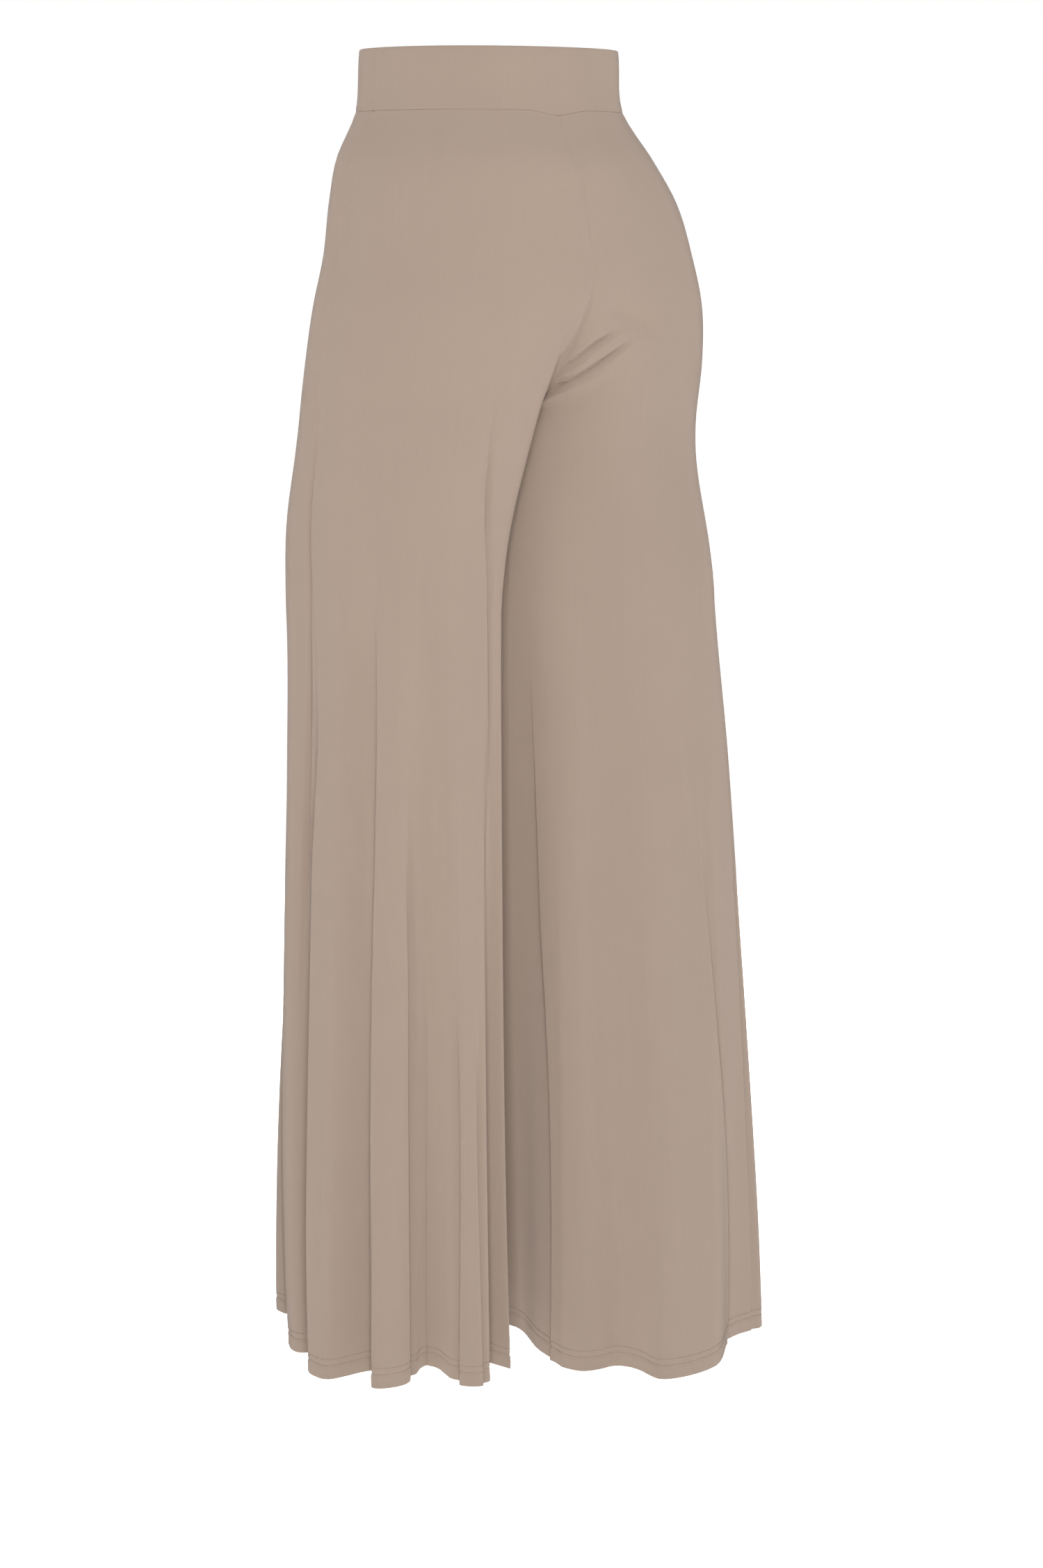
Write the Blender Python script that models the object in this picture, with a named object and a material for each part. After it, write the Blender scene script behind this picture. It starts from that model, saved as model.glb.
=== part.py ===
"""Palazzo pants in knit jersey, worn: a pull-on waistband and four leg panels.

The origin is the centre of the waist opening, +Z is up, the front faces -Y and
the wearer's left is +X. Each panel is a thin wall lofted through level sections:
an oval round the body, which divides below the crotch into one oval for each
leg, which opens into the flutes of the hem.
"""

import bmesh
import bpy
import numpy as np

MM = 0.001

CLOTH_WALL = 1.6 * MM
BAND_WALL = 2.6 * MM
SEAM_GAP = 0.3 * MM

BAND_DEPTH = 48 * MM
BAND_DIP = 4 * MM
BAND_DIP_REACH = 17 * MM
CROTCH_DOWN = 280 * MM
CROTCH_RISE = 118 * MM
SPLIT_END = 430 * MM
HEM_DOWN = 1030 * MM
HEM_RISE_START = 760 * MM
FOLD_GROWTH = 1.15

TORSO_CORNER = 2.15
LEG_CORNER = 2.25
HOOK_CROWDING = 0.26
SPLIT_SOFTNESS = 2.4
CROTCH_AFT = 0.5 * MM
MEETING_SHARPNESS = 8

PANEL_COLUMNS = 36
ROWS_ABOVE_CROTCH = 11
ROWS_BELOW_CROTCH = 13
CROWDING_ABOVE = 1.7
CROWDING_BELOW = 1.4
BAND_COLUMNS = 72
BAND_ROWS = 3

NUDGE_DEGREES = 0.4
NUDGE_DOWN = 0.5 * MM
SHARP_DEGREES = 50

JERSEY_TAUPE = (0.430, 0.345, 0.278, 1.0)
JERSEY_ROUGHNESS = 0.85


def table(columns, rows):
    """A table in millimetres and degrees as one array for each named column."""
    return dict(zip(columns.split(), np.array(rows, float).T))


# The body's oval at each depth below the waist, in mm. sway is how far its middle
# stands to the wearer's left of the origin.
TORSO = table("down half_width front back sway", [
    (0, 104, 84, 90, 2),
    (48, 108, 85, 94, 2),
    (85, 130, 86, 115, 0),
    (115, 145, 88, 117, -8),
    (160, 158, 88, 118, -14),
    (195, 168, 90, 117, -15),
    (240, 173, 99, 111, -14),
    (280, 173, 108, 105, -11),
    (350, 172, 108, 100, -5),
    (430, 170, 104, 98, 0),
])

# Each leg's oval below the crotch: how far its inner and outer sides lie from the
# middle of the body, and its front and back from the waist's centre, in mm.
LEFT_LEG = table("down inner outer front back", [
    (280, 0, 172, -112, 94),
    (340, 5, 169, -110, 84),
    (430, 11, 164, -98, 82),
    (560, 14, 162, -100, 83),
    (720, 16, 160, -116, 84),
    (880, 18, 158, -142, 84),
    (1030, 20, 156, -170, 84),
])
RIGHT_LEG = table("down inner outer front back", [
    (280, 0, 174, -92, 112),
    (340, 4, 176, -90, 116),
    (430, 6, 174, -90, 119),
    (560, 8, 180, -92, 123),
    (720, 10, 183, -96, 128),
    (880, 12, 189, -104, 136),
    (1030, 14, 202, -112, 148),
])

# The hem of each leg, a row for each fold: the crest and the trough after it, going
# round from the inseam by the front, side and back. around is in degrees; out and
# aft are where it stands and broad is the crest's width, in mm; rise lifts the
# trough's hem and begins is the depth where the fold fades out.
FOLD_COLUMNS = (
    "crest_around crest_out crest_aft broad trough_around trough_out trough_aft rise begins"
)
LEFT_FOLDS = table(FOLD_COLUMNS, [
    (4, 14, -38, 24, 24, 46, -84, 4, 330),
    (46, 16, -146, 26, 68, 46, -166, 4, 330),
    (94, 68, -206, 34, 124, 100, -124, 5, 340),
    (152, 141, -74, 30, 173, 124, -34, 4, 330),
    (194, 170, 9, 30, 211, 137, 36, 4, 330),
    (228, 146, 69, 26, 250, 95, 48, 6, 330),
    (276, 86, 103, 24, 299, 56, 56, 5, 400),
    (324, 34, 68, 22, 345, 44, 14, 4, 360),
])
RIGHT_FOLDS = table(FOLD_COLUMNS, [
    (24, 18, -88, 26, 47, 62, -78, 4, 340),
    (70, 86, -136, 30, 93, 124, -92, 5, 340),
    (114, 164, -120, 32, 136, 162, -62, 5, 360),
    (157, 210, -36, 34, 179, 178, 12, 4, 380),
    (203, 214, 72, 26, 240, 158, 112, 3, 400),
    (279, 70, 172, 56, 316, 27, 132, 3, 480),
    (329, 5, 92, 50, 351, 37, -14, 3, 360),
])
SHOULDER = 0.3


def smooth_steps(at, values, where):
    """The values of a table's column at other places, joined by a smooth curve."""
    slopes = np.gradient(values, at)
    first = np.clip(np.searchsorted(at, where) - 1, 0, len(at) - 2)
    span = at[first + 1] - at[first]
    s = np.clip((where - at[first]) / span, 0, 1)
    start = (1 + 2 * s) * (1 - s) ** 2 * values[first]
    start += s * (1 - s) ** 2 * span * slopes[first]
    end = s**2 * (3 - 2 * s) * values[first + 1]
    end -= s**2 * (1 - s) * span * slopes[first + 1]
    return start + end


def row_of(rows, column, down):
    return smooth_steps(rows["down"] * MM, rows[column] * MM, down)


def hem_stations(folds):
    """The places that a hem passes: both shoulders of each crest, then its trough."""
    crest = np.array([folds["crest_out"], folds["crest_aft"]])
    trough = np.array([folds["trough_out"], folds["trough_aft"]])
    along = trough - np.roll(trough, 1, axis=1)
    half = along / np.linalg.norm(along, axis=0) * folds["broad"] / 2
    top, bottom = folds["crest_around"], folds["trough_around"]
    last_bottom = np.concatenate([bottom[-1:] - 360, bottom[:-1]])
    first = top - SHOULDER * (top - last_bottom)
    second = top + SHOULDER * (bottom - top)
    flat, begins = np.zeros_like(top), folds["begins"]
    return {
        "around": np.column_stack([first, second, bottom]).ravel(),
        "out": np.column_stack([crest[0] - half[0], crest[0] + half[0], trough[0]]).ravel(),
        "aft": np.column_stack([crest[1] - half[1], crest[1] + half[1], trough[1]]).ravel(),
        "rise": np.column_stack([flat, flat, folds["rise"]]).ravel(),
        "begins": np.column_stack([begins, begins, begins]).ravel(),
    }


def round_the_hem(hem, column, around):
    """One of the hem's values all round, closed on itself."""
    at = hem["around"]
    at = np.concatenate([at - 360, at, at + 360])
    return smooth_steps(at, np.tile(hem[column] * MM, 3), around % 360)


def ease(start, end, value):
    s = np.clip((value - start) / (end - start), 0, 1)
    return s * s * (3 - 2 * s)


def bent(value, corner):
    """A cosine or sine made fuller, so that an oval gets squarer shoulders."""
    return np.sign(value) * np.abs(value) ** (2 / corner)


def torso_point(around, down):
    """(out, aft) on the body's oval. Half of it holds a whole turn of a leg."""
    turn = np.radians(around) / 2 - HOOK_CROWDING * np.sin(np.radians(around))
    half_width = row_of(TORSO, "half_width", down)
    front = row_of(TORSO, "front", down)
    back = row_of(TORSO, "back", down)
    reach = np.where(np.cos(turn) > 0, front, back)
    out = half_width * bent(np.sin(turn), TORSO_CORNER)
    return out, -reach * bent(np.cos(turn), TORSO_CORNER)


def leg_point(leg, around, down):
    """(out, aft) on a leg's smooth oval.

    One leg is ahead of the other, so close to the inseam both are drawn to one
    meeting point at the crotch, where the two halves of the rise seams join.
    """
    inner, outer = row_of(leg, "inner", down), row_of(leg, "outer", down)
    front, back = row_of(leg, "front", down), row_of(leg, "back", down)
    turn = np.radians(around)
    out = (inner + outer) / 2 - (outer - inner) / 2 * bent(np.cos(turn), LEG_CORNER)
    aft = (front + back) / 2 - (back - front) / 2 * bent(np.sin(turn), LEG_CORNER)
    meeting = np.cos(turn / 2) ** MEETING_SHARPNESS
    meeting = meeting * (1 - ease(CROTCH_DOWN, SPLIT_END, down))
    return out, aft + meeting * (CROTCH_AFT - (front + back) / 2)


def torso_share(around, down):
    """How much of the body's oval is left at a place, from 1 down to 0.

    At the inseam it follows a quarter circle, which makes the U of the rise
    seams. Away from it the change gets softer and reaches below the crotch.
    """
    up = (CROTCH_DOWN - down) / CROTCH_RISE
    soft = SPLIT_SOFTNESS * np.sin(np.radians(around) / 2) ** 2
    up = np.clip((up + np.sqrt(up**2 + soft**2)) / 2, 0, 1)
    return np.sqrt(up * (2 - up)) * (1 - ease(CROTCH_DOWN, SPLIT_END, down))


def surface(side, leg, hem, around, down):
    """Points of the cloth's outer face, side +1 for the left leg and -1 for the right."""
    share = torso_share(around, down)
    body, thigh = torso_point(around, down), leg_point(leg, around, down)
    out, aft = (share * b + (1 - share) * t for b, t in zip(body, thigh))
    begins = round_the_hem(hem, "begins", around)
    grown = np.clip((down - begins) / (HEM_DOWN - begins), 0, 1) ** FOLD_GROWTH
    out = out + grown * (round_the_hem(hem, "out", around) - out)
    aft = aft + grown * (round_the_hem(hem, "aft", around) - aft)
    up = round_the_hem(hem, "rise", around) * ease(HEM_RISE_START, HEM_DOWN, down)
    dip = BAND_DIP * np.exp(-((out / BAND_DIP_REACH) ** 2)) * (around > 180)
    up = up - dip * (1 - ease(BAND_DEPTH, CROTCH_DOWN, down))
    sway = row_of(TORSO, "sway", down)
    return np.stack([sway + side * out, aft, up - down], axis=-1)


def across(side, leg, hem, around, down):
    """How far the cloth runs round the leg for each degree."""
    ahead = surface(side, leg, hem, around + NUDGE_DEGREES, down)
    behind = surface(side, leg, hem, around - NUDGE_DEGREES, down)
    return (ahead - behind) / (2 * NUDGE_DEGREES)


def outward(side, leg, hem, around, down):
    """Unit normals of the outer face."""
    fall = surface(side, leg, hem, around, down + NUDGE_DOWN)
    fall = fall - surface(side, leg, hem, around, down - NUDGE_DOWN)
    normal = side * np.cross(fall, across(side, leg, hem, around, down))
    return normal / np.linalg.norm(normal, axis=-1, keepdims=True)


def wall(name, outer, inner, closed):
    """A thin wall between two grids of points, with a rim all round."""
    rows, columns = outer.shape[:2]
    mesh = bmesh.new()
    faces = [
        [[mesh.verts.new(point) for point in row] for row in grid]
        for grid in (outer, inner)
    ]
    out, back = faces
    last = columns if closed else columns - 1
    for r in range(rows - 1):
        for c in range(last):
            d = (c + 1) % columns
            mesh.faces.new((out[r][c], out[r + 1][c], out[r + 1][d], out[r][d]))
            mesh.faces.new((back[r][d], back[r + 1][d], back[r + 1][c], back[r][c]))
    for r in (0, rows - 1):
        for c in range(last):
            d = (c + 1) % columns
            mesh.faces.new((out[r][c], out[r][d], back[r][d], back[r][c]))
    if not closed:
        for c in (0, columns - 1):
            for r in range(rows - 1):
                mesh.faces.new((out[r][c], out[r + 1][c], back[r + 1][c], back[r][c]))
    bmesh.ops.recalc_face_normals(mesh, faces=mesh.faces)
    data = bpy.data.meshes.new(name)
    mesh.to_mesh(data)
    mesh.free()
    data.shade_smooth()
    data.set_sharp_from_angle(angle=np.radians(SHARP_DEGREES))
    return bpy.data.objects.new(name, data)


def jersey(name):
    material = bpy.data.materials.new(name)
    material.use_nodes = True
    shader = material.node_tree.nodes["Principled BSDF"]
    shader.inputs["Base Color"].default_value = JERSEY_TAUPE
    shader.inputs["Roughness"].default_value = JERSEY_ROUGHNESS
    shader.inputs["Metallic"].default_value = 0
    return material


def panel_rows():
    """Depths of the panel's sections, closer together at the crotch."""
    top = BAND_DEPTH + SEAM_GAP
    above = (1 - np.arange(ROWS_ABOVE_CROTCH) / ROWS_ABOVE_CROTCH) ** CROWDING_ABOVE
    below = (np.arange(ROWS_BELOW_CROTCH + 1) / ROWS_BELOW_CROTCH) ** CROWDING_BELOW
    above = CROTCH_DOWN - (CROTCH_DOWN - top) * above
    below = CROTCH_DOWN + (HEM_DOWN - CROTCH_DOWN) * below
    return np.concatenate([above, below])


def leg_panel(name, side, leg, hem, first, last):
    """A front or back panel, from the waistband to the hem."""
    down = panel_rows()[:, None]
    around = np.linspace(first, last, PANEL_COLUMNS + 1)[None, :]
    around, down = np.broadcast_arrays(around, down)
    trim = SEAM_GAP / 2 / np.linalg.norm(across(side, leg, hem, around, down), axis=-1)
    around = np.clip(around, first + trim[:, :1], last - trim[:, -1:])
    outer = surface(side, leg, hem, around, down)
    inner = outer - CLOTH_WALL * outward(side, leg, hem, around, down)
    inner[[0, -1], :, 2] = outer[[0, -1], :, 2]
    middle = row_of(TORSO, "sway", down) + side * SEAM_GAP / 2
    for face in (outer, inner):
        face[..., 0] = side * np.maximum(side * face[..., 0], side * middle)
    return wall(name, outer, inner, closed=False)


def waistband():
    """The folded band, a closed ring whose lower edge dips at the centre back."""
    turn = np.arange(BAND_COLUMNS) * 360 / BAND_COLUMNS
    around = np.where(turn < 180, turn * 2, (360 - turn) * 2)
    side = np.where(turn < 180, 1, -1)
    share = np.linspace(0, 1, BAND_ROWS + 1)[:, None]
    out, aft = torso_point(around[None, :], share * BAND_DEPTH)
    dip = BAND_DIP * np.exp(-((out / BAND_DIP_REACH) ** 2)) * (around > 180)
    sway = row_of(TORSO, "sway", share * BAND_DEPTH)
    outer = np.stack([sway + side * out, aft, -share * (BAND_DEPTH + dip)], axis=-1)
    along = np.roll(outer, -1, axis=1) - np.roll(outer, 1, axis=1)
    normal = np.stack([along[..., 1], -along[..., 0]], axis=-1)
    normal /= np.linalg.norm(normal, axis=-1, keepdims=True)
    inner = outer.copy()
    inner[..., :2] -= BAND_WALL * normal
    return wall("waistband", outer, inner, closed=True)


def clear_scene():
    for thing in list(bpy.data.objects):
        bpy.data.objects.remove(thing, do_unlink=True)


def build():
    clear_scene()
    pieces = [waistband()]
    for word, side, leg, hem in (
        ("left", 1, LEFT_LEG, hem_stations(LEFT_FOLDS)),
        ("right", -1, RIGHT_LEG, hem_stations(RIGHT_FOLDS)),
    ):
        pieces.append(leg_panel("front_" + word, side, leg, hem, 0, 180))
        pieces.append(leg_panel("back_" + word, side, leg, hem, 180, 360))
    garment = bpy.data.collections.new("Palazzo pants")
    bpy.context.scene.collection.children.link(garment)
    for piece in pieces:
        piece.data.materials.append(jersey("Jersey " + piece.name))
        garment.objects.link(piece)


build()
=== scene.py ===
# %% [markdown]
# # A pair of palazzo pants in rayon jersey
#
# Palazzo pants are cut like a flared skirt that has been divided: a snug band at
# the waist, smooth hips, and two legs so wide at the hem that the spare cloth
# hangs in flutes. These are worn, so they keep the hollow form of a standing
# wearer, with the left leg forward and the hips swayed to the wearer's right.
#
# The lesson builds them the way they are sewn. Four leg panels and a waistband
# are each one sheet of cloth, worked out from level ovals. Folds, seams and the
# stitched hem are then pressed into the sheets, and a knit material is laid on.
#
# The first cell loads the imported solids. They fix where every piece goes, and
# the sheets made here take their place in the picture.

# %% Load the frame
from math import cos, pi, radians, sin

import bpy
import numpy as np
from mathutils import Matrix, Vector


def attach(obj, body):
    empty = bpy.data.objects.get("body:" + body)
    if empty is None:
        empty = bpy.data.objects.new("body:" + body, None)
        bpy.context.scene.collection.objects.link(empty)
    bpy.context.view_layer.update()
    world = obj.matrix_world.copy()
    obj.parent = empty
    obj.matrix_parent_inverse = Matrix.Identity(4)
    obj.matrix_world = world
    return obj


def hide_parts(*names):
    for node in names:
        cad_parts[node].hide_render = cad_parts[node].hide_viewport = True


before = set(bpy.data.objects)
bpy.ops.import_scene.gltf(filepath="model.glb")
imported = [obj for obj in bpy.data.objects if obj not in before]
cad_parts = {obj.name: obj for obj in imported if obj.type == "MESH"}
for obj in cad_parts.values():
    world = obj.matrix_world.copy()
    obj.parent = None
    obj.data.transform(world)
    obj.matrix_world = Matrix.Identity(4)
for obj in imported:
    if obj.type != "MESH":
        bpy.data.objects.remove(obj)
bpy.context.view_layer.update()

MM = 0.001
print("solids to dress:", sorted(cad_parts))

# %% [markdown]
# ## Camera
#
# The pants are seen from behind and from the wearer's left, nearly level, from a
# few steps away. A long lens keeps the two legs at the same scale. All of the
# camera's numbers are real distances in the frame of the garment, whose origin
# is the middle of the waist opening.

# %% Set the camera
CAMERA_AZIMUTH = radians(145)
CAMERA_DISTANCE = 3.5
CAMERA_HEIGHT = -0.15
AIM_ASIDE = 0.0245
AIM_HEIGHT = -0.576
LENS_MM = 101.75
SENSOR_MM = 36

to_camera = Vector((sin(CAMERA_AZIMUTH), -cos(CAMERA_AZIMUTH), 0))
to_right = Vector((cos(CAMERA_AZIMUTH), sin(CAMERA_AZIMUTH), 0))


def place(thing, name, position, aim):
    """Puts a camera or a light in the scene, pointing at a place."""
    made = bpy.data.objects.new(name, thing)
    bpy.context.scene.collection.objects.link(made)
    made.location = position
    made.rotation_euler = (aim - position).to_track_quat("-Z", "Y").to_euler()
    return made


lens = bpy.data.cameras.new("camera")
lens.lens = LENS_MM
lens.sensor_width = SENSOR_MM
camera = place(
    lens,
    "camera",
    to_camera * CAMERA_DISTANCE + Vector((0, 0, CAMERA_HEIGHT)),
    to_right * AIM_ASIDE + Vector((0, 0, AIM_HEIGHT)),
)
bpy.context.scene.camera = camera
print("camera at", [round(x, 2) for x in camera.location])

# %% [markdown]
# ## Colours and nodes
#
# Dyers and screens give colours as sRGB hex values, but a renderer adds light in
# linear values. One function turns the first into the second. A second small
# function adds a shader node, sets its values and links what is passed to it, so
# each material reads as a list of steps.

# %% Colour and node helpers
SRGB_KNEE = 0.04045
SRGB_SLOPE = 12.92
SRGB_OFFSET = 0.055
SRGB_POWER = 2.4


def colour(hex_value):
    """Linear red, green, blue and alpha of an sRGB hex colour."""
    parts = [int(hex_value[i : i + 2], 16) / 255 for i in (1, 3, 5)]
    linear = [
        part / SRGB_SLOPE
        if part <= SRGB_KNEE
        else ((part + SRGB_OFFSET) / (1 + SRGB_OFFSET)) ** SRGB_POWER
        for part in parts
    ]
    return (*linear, 1)


def add_node(tree, kind, inputs=None, **settings):
    """A new shader node with its settings, and its inputs set or linked."""
    made = tree.nodes.new("ShaderNode" + kind)
    for name, value in settings.items():
        setattr(made, name, value)
    for socket, value in (inputs or {}).items():
        if isinstance(value, bpy.types.NodeSocket):
            tree.links.new(value, made.inputs[socket])
        else:
            made.inputs[socket].default_value = value
    return made


print("jersey taupe in linear light:", [round(x, 3) for x in colour("#B09E90")])

# %% [markdown]
# ## Studio
#
# Clothes are shot on a white sweep with soft light from close to the camera, so
# that the colour reads true and only the folds make shade. The key softbox stands
# just behind the camera, at its height, from where its light reaches into the
# narrow space between the legs. A weaker one, high up, leaves a soft shade below
# the seat and under each fold. A weak box on the left and a weak wing on the
# right keep the two outlines from going dull. A strong, wide box on the far side
# lights the front of the garment and the rims of its folds. The sky is a weak
# white light. The floor lies where the wearer would stand, below the hem. Its
# white is brought up for the eye alone, so that it throws no more light upwards
# than paper does.

# %% Build the studio
WHITE = colour("#FFFFFF")
PAPER_WHITE = "#F6F5F3"
PAPER_ROUGHNESS = 0.9
FLOOR_DOWN = 1.19
FLOOR_SIZE = 400
FLOOR_GLOW = 0.9
SKY_STRENGTH = 0.15
SOFTBOXES = (
    # name, watts, size, and metres from the middle: to the camera, to its right, up
    ("key softbox", 84, 0.7, 4.0, 0.0, 0.4),
    ("high softbox", 22, 1.0, 3.2, 0.2, 2.4),
    ("left softbox", 8, 1.4, 2.6, -2.0, 1.0),
    ("right wing", 13, 1.8, 0.5, 3.2, 0.4),
    ("far softbox", 95, 2.2, -3.4, -0.3, 0.8),
)

world = bpy.data.worlds.new("white sky")
bpy.context.scene.world = world
world.use_nodes = True
sky = world.node_tree
sky.nodes.clear()
seen = add_node(sky, "Background", {"Color": WHITE, "Strength": 1.0})
light = add_node(sky, "Background", {"Color": WHITE, "Strength": SKY_STRENGTH})
is_seen = add_node(sky, "LightPath").outputs["Is Camera Ray"]
either = add_node(sky, "MixShader", {0: is_seen, 1: light.outputs[0], 2: seen.outputs[0]})
add_node(sky, "OutputWorld", {"Surface": either.outputs[0]})

bpy.ops.mesh.primitive_plane_add(size=FLOOR_SIZE, location=(0, 0, -FLOOR_DOWN))
floor = bpy.context.object
floor.name = "floor"
paper = bpy.data.materials.new("white paper sweep")
paper.use_nodes = True
paper_shader = paper.node_tree.nodes["Principled BSDF"]
paper_shader.inputs["Base Color"].default_value = colour(PAPER_WHITE)
paper_shader.inputs["Roughness"].default_value = PAPER_ROUGHNESS
paper_shader.inputs["Emission Color"].default_value = WHITE
to_eye = add_node(paper.node_tree, "LightPath").outputs["Is Camera Ray"]
glow = add_node(paper.node_tree, "Math", {0: to_eye, 1: FLOOR_GLOW}, operation="MULTIPLY")
paper.node_tree.links.new(glow.outputs[0], paper_shader.inputs["Emission Strength"])
floor.data.materials.append(paper)

middle = Vector((0, 0, AIM_HEIGHT))
for name, watts, size, ahead, aside, above in SOFTBOXES:
    lamp = bpy.data.lights.new(name, "AREA")
    lamp.energy = watts
    lamp.size = size
    position = middle + to_camera * ahead + to_right * aside + Vector((0, 0, above))
    place(lamp, name, position, middle)
    print(name, "at", watts, "W")

bpy.context.scene.view_settings.view_transform = "Standard"

# %% [markdown]
# ## Form of the body and the legs
#
# Pattern cutters draft trousers from a few girths. The same can be done with
# level ovals: one for the body at each depth, and one for each leg below the
# crotch. A table row is one oval, in millimetres, and a smooth curve joins the
# rows. `around` runs once round a leg in degrees, from the inseam (0) by the
# front (90), the side seam (180) and the back (270). The body's oval uses the
# same coordinate, with the middle of the front at 0 and of the back at 360, so
# that one formula blends the body into the legs.
#
# A single tube modelled by hand would be quicker, but its seams and folds would
# then have no place of their own to be measured from.

# %% Tables of the form
BAND_DEPTH = 48 * MM
BAND_DIP = 4 * MM  # at the middle of the back
BAND_DIP_REACH = 17 * MM
CROTCH_DOWN = 280 * MM
CROTCH_RISE = 118 * MM  # how far up the U of the crotch reaches
CROTCH_AFT = 0.5 * MM
SPLIT_END = 430 * MM  # below this each leg is its own oval
SPLIT_SOFTNESS = 2.4  # more makes the change slower at the side seam
MEETING_SHARPNESS = 8  # more keeps the meeting closer to the inseam
HEM_DOWN = 1030 * MM
HEM_RISE_START = 760 * MM
FOLD_GROWTH = 1.15  # at 1 a flute opens evenly, and at more it opens later
TORSO_CORNER = 2.15  # 2 is an ellipse, and more is squarer
LEG_CORNER = 2.25
HOOK_CROWDING = 0.26  # more brings the body's columns closer to the rise seams
SHOULDER = 0.3  # share of the way from a crest to a trough


def table(columns, rows):
    """One array for each named column."""
    return dict(zip(columns.split(), np.array(rows, float).T))


TORSO = table("down half_width front back sway", [
    (0, 104, 84, 90, 2),
    (48, 108, 85, 94, 2),
    (85, 130, 86, 115, 0),
    (115, 145, 88, 117, -8),
    (160, 158, 88, 118, -14),
    (195, 168, 90, 117, -15),
    (240, 173, 99, 111, -14),
    (280, 173, 108, 105, -11),
    (350, 172, 108, 100, -5),
    (430, 170, 104, 98, 0),
])
LEFT_LEG = table("down inner outer front back", [
    (280, 0, 172, -112, 94),
    (340, 5, 169, -110, 84),
    (430, 11, 164, -98, 82),
    (560, 14, 162, -100, 83),
    (720, 16, 160, -116, 84),
    (880, 18, 158, -142, 84),
    (1030, 20, 156, -170, 84),
])
RIGHT_LEG = table("down inner outer front back", [
    (280, 0, 174, -92, 112),
    (340, 4, 176, -90, 116),
    (430, 6, 174, -90, 119),
    (560, 8, 180, -92, 123),
    (720, 10, 183, -96, 128),
    (880, 12, 189, -104, 136),
    (1030, 14, 202, -112, 148),
])
FLUTE_COLUMNS = (
    "crest_around crest_out crest_aft broad trough_around trough_out trough_aft rise begins"
)
LEFT_FLUTES = table(FLUTE_COLUMNS, [
    (4, 14, -38, 24, 24, 46, -84, 4, 330),
    (46, 16, -146, 26, 68, 46, -166, 4, 330),
    (94, 68, -206, 34, 124, 100, -124, 5, 340),
    (152, 141, -74, 30, 173, 124, -34, 4, 330),
    (194, 170, 9, 30, 211, 137, 36, 4, 330),
    (228, 146, 69, 26, 250, 95, 48, 6, 330),
    (276, 86, 103, 24, 299, 56, 56, 5, 400),
    (324, 34, 68, 22, 345, 44, 14, 4, 360),
])
RIGHT_FLUTES = table(FLUTE_COLUMNS, [
    (24, 18, -88, 26, 47, 62, -78, 4, 340),
    (70, 86, -136, 30, 93, 124, -92, 5, 340),
    (114, 164, -120, 32, 136, 162, -62, 5, 360),
    (157, 210, -36, 34, 179, 178, 12, 4, 380),
    (203, 214, 72, 26, 240, 158, 112, 3, 400),
    (279, 70, 172, 56, 316, 27, 132, 3, 480),
    (329, 5, 92, 50, 351, 37, -14, 3, 360),
])
for word, flutes in (("left", LEFT_FLUTES), ("right", RIGHT_FLUTES)):
    print(len(flutes["rise"]), "flutes on the", word, "leg")

# %% [markdown]
# The flutes are given where they are widest, at the hem: the place of each crest
# and of the trough after it. A crest is rounded, so it becomes two shoulders, and
# a smooth closed curve runs through shoulders and troughs. Above the hem each
# flute shrinks towards the depth where it fades out.


# %% Curves through the tables
def smooth_steps(at, values, where):
    """The values of a column at other places, joined by a smooth curve."""
    slopes = np.gradient(values, at)
    first = np.clip(np.searchsorted(at, where) - 1, 0, len(at) - 2)
    span = at[first + 1] - at[first]
    s = np.clip((where - at[first]) / span, 0, 1)
    start = (1 + 2 * s) * (1 - s) ** 2 * values[first]
    start += s * (1 - s) ** 2 * span * slopes[first]
    end = s**2 * (3 - 2 * s) * values[first + 1]
    end -= s**2 * (1 - s) * span * slopes[first + 1]
    return start + end


def row_of(rows, column, down):
    return smooth_steps(rows["down"] * MM, rows[column] * MM, down)


def hem_stations(flutes):
    """The places that a hem passes: both shoulders of each crest, then its trough."""
    crest = np.array([flutes["crest_out"], flutes["crest_aft"]])
    trough = np.array([flutes["trough_out"], flutes["trough_aft"]])
    along = trough - np.roll(trough, 1, axis=1)
    half = along / np.linalg.norm(along, axis=0) * flutes["broad"] / 2
    top, bottom = flutes["crest_around"], flutes["trough_around"]
    last_bottom = np.concatenate([bottom[-1:] - 360, bottom[:-1]])
    first = top - SHOULDER * (top - last_bottom)
    second = top + SHOULDER * (bottom - top)
    flat, begins = np.zeros_like(top), flutes["begins"]
    return {
        "around": np.column_stack([first, second, bottom]).ravel(),
        "out": np.column_stack([crest[0] - half[0], crest[0] + half[0], trough[0]]).ravel(),
        "aft": np.column_stack([crest[1] - half[1], crest[1] + half[1], trough[1]]).ravel(),
        "rise": np.column_stack([flat, flat, flutes["rise"]]).ravel(),
        "begins": np.column_stack([begins, begins, begins]).ravel(),
    }


def round_the_hem(hem, column, around):
    """One of the hem's values all round, closed on itself."""
    at = hem["around"]
    at = np.concatenate([at - 360, at, at + 360])
    return smooth_steps(at, np.tile(hem[column] * MM, 3), around % 360)


def ease(start, end, value):
    s = np.clip((value - start) / (end - start), 0, 1)
    return s * s * (3 - 2 * s)


def bent(value, corner):
    """A cosine or sine made fuller, so that an oval gets squarer shoulders."""
    return np.sign(value) * np.abs(value) ** (2 / corner)


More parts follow.
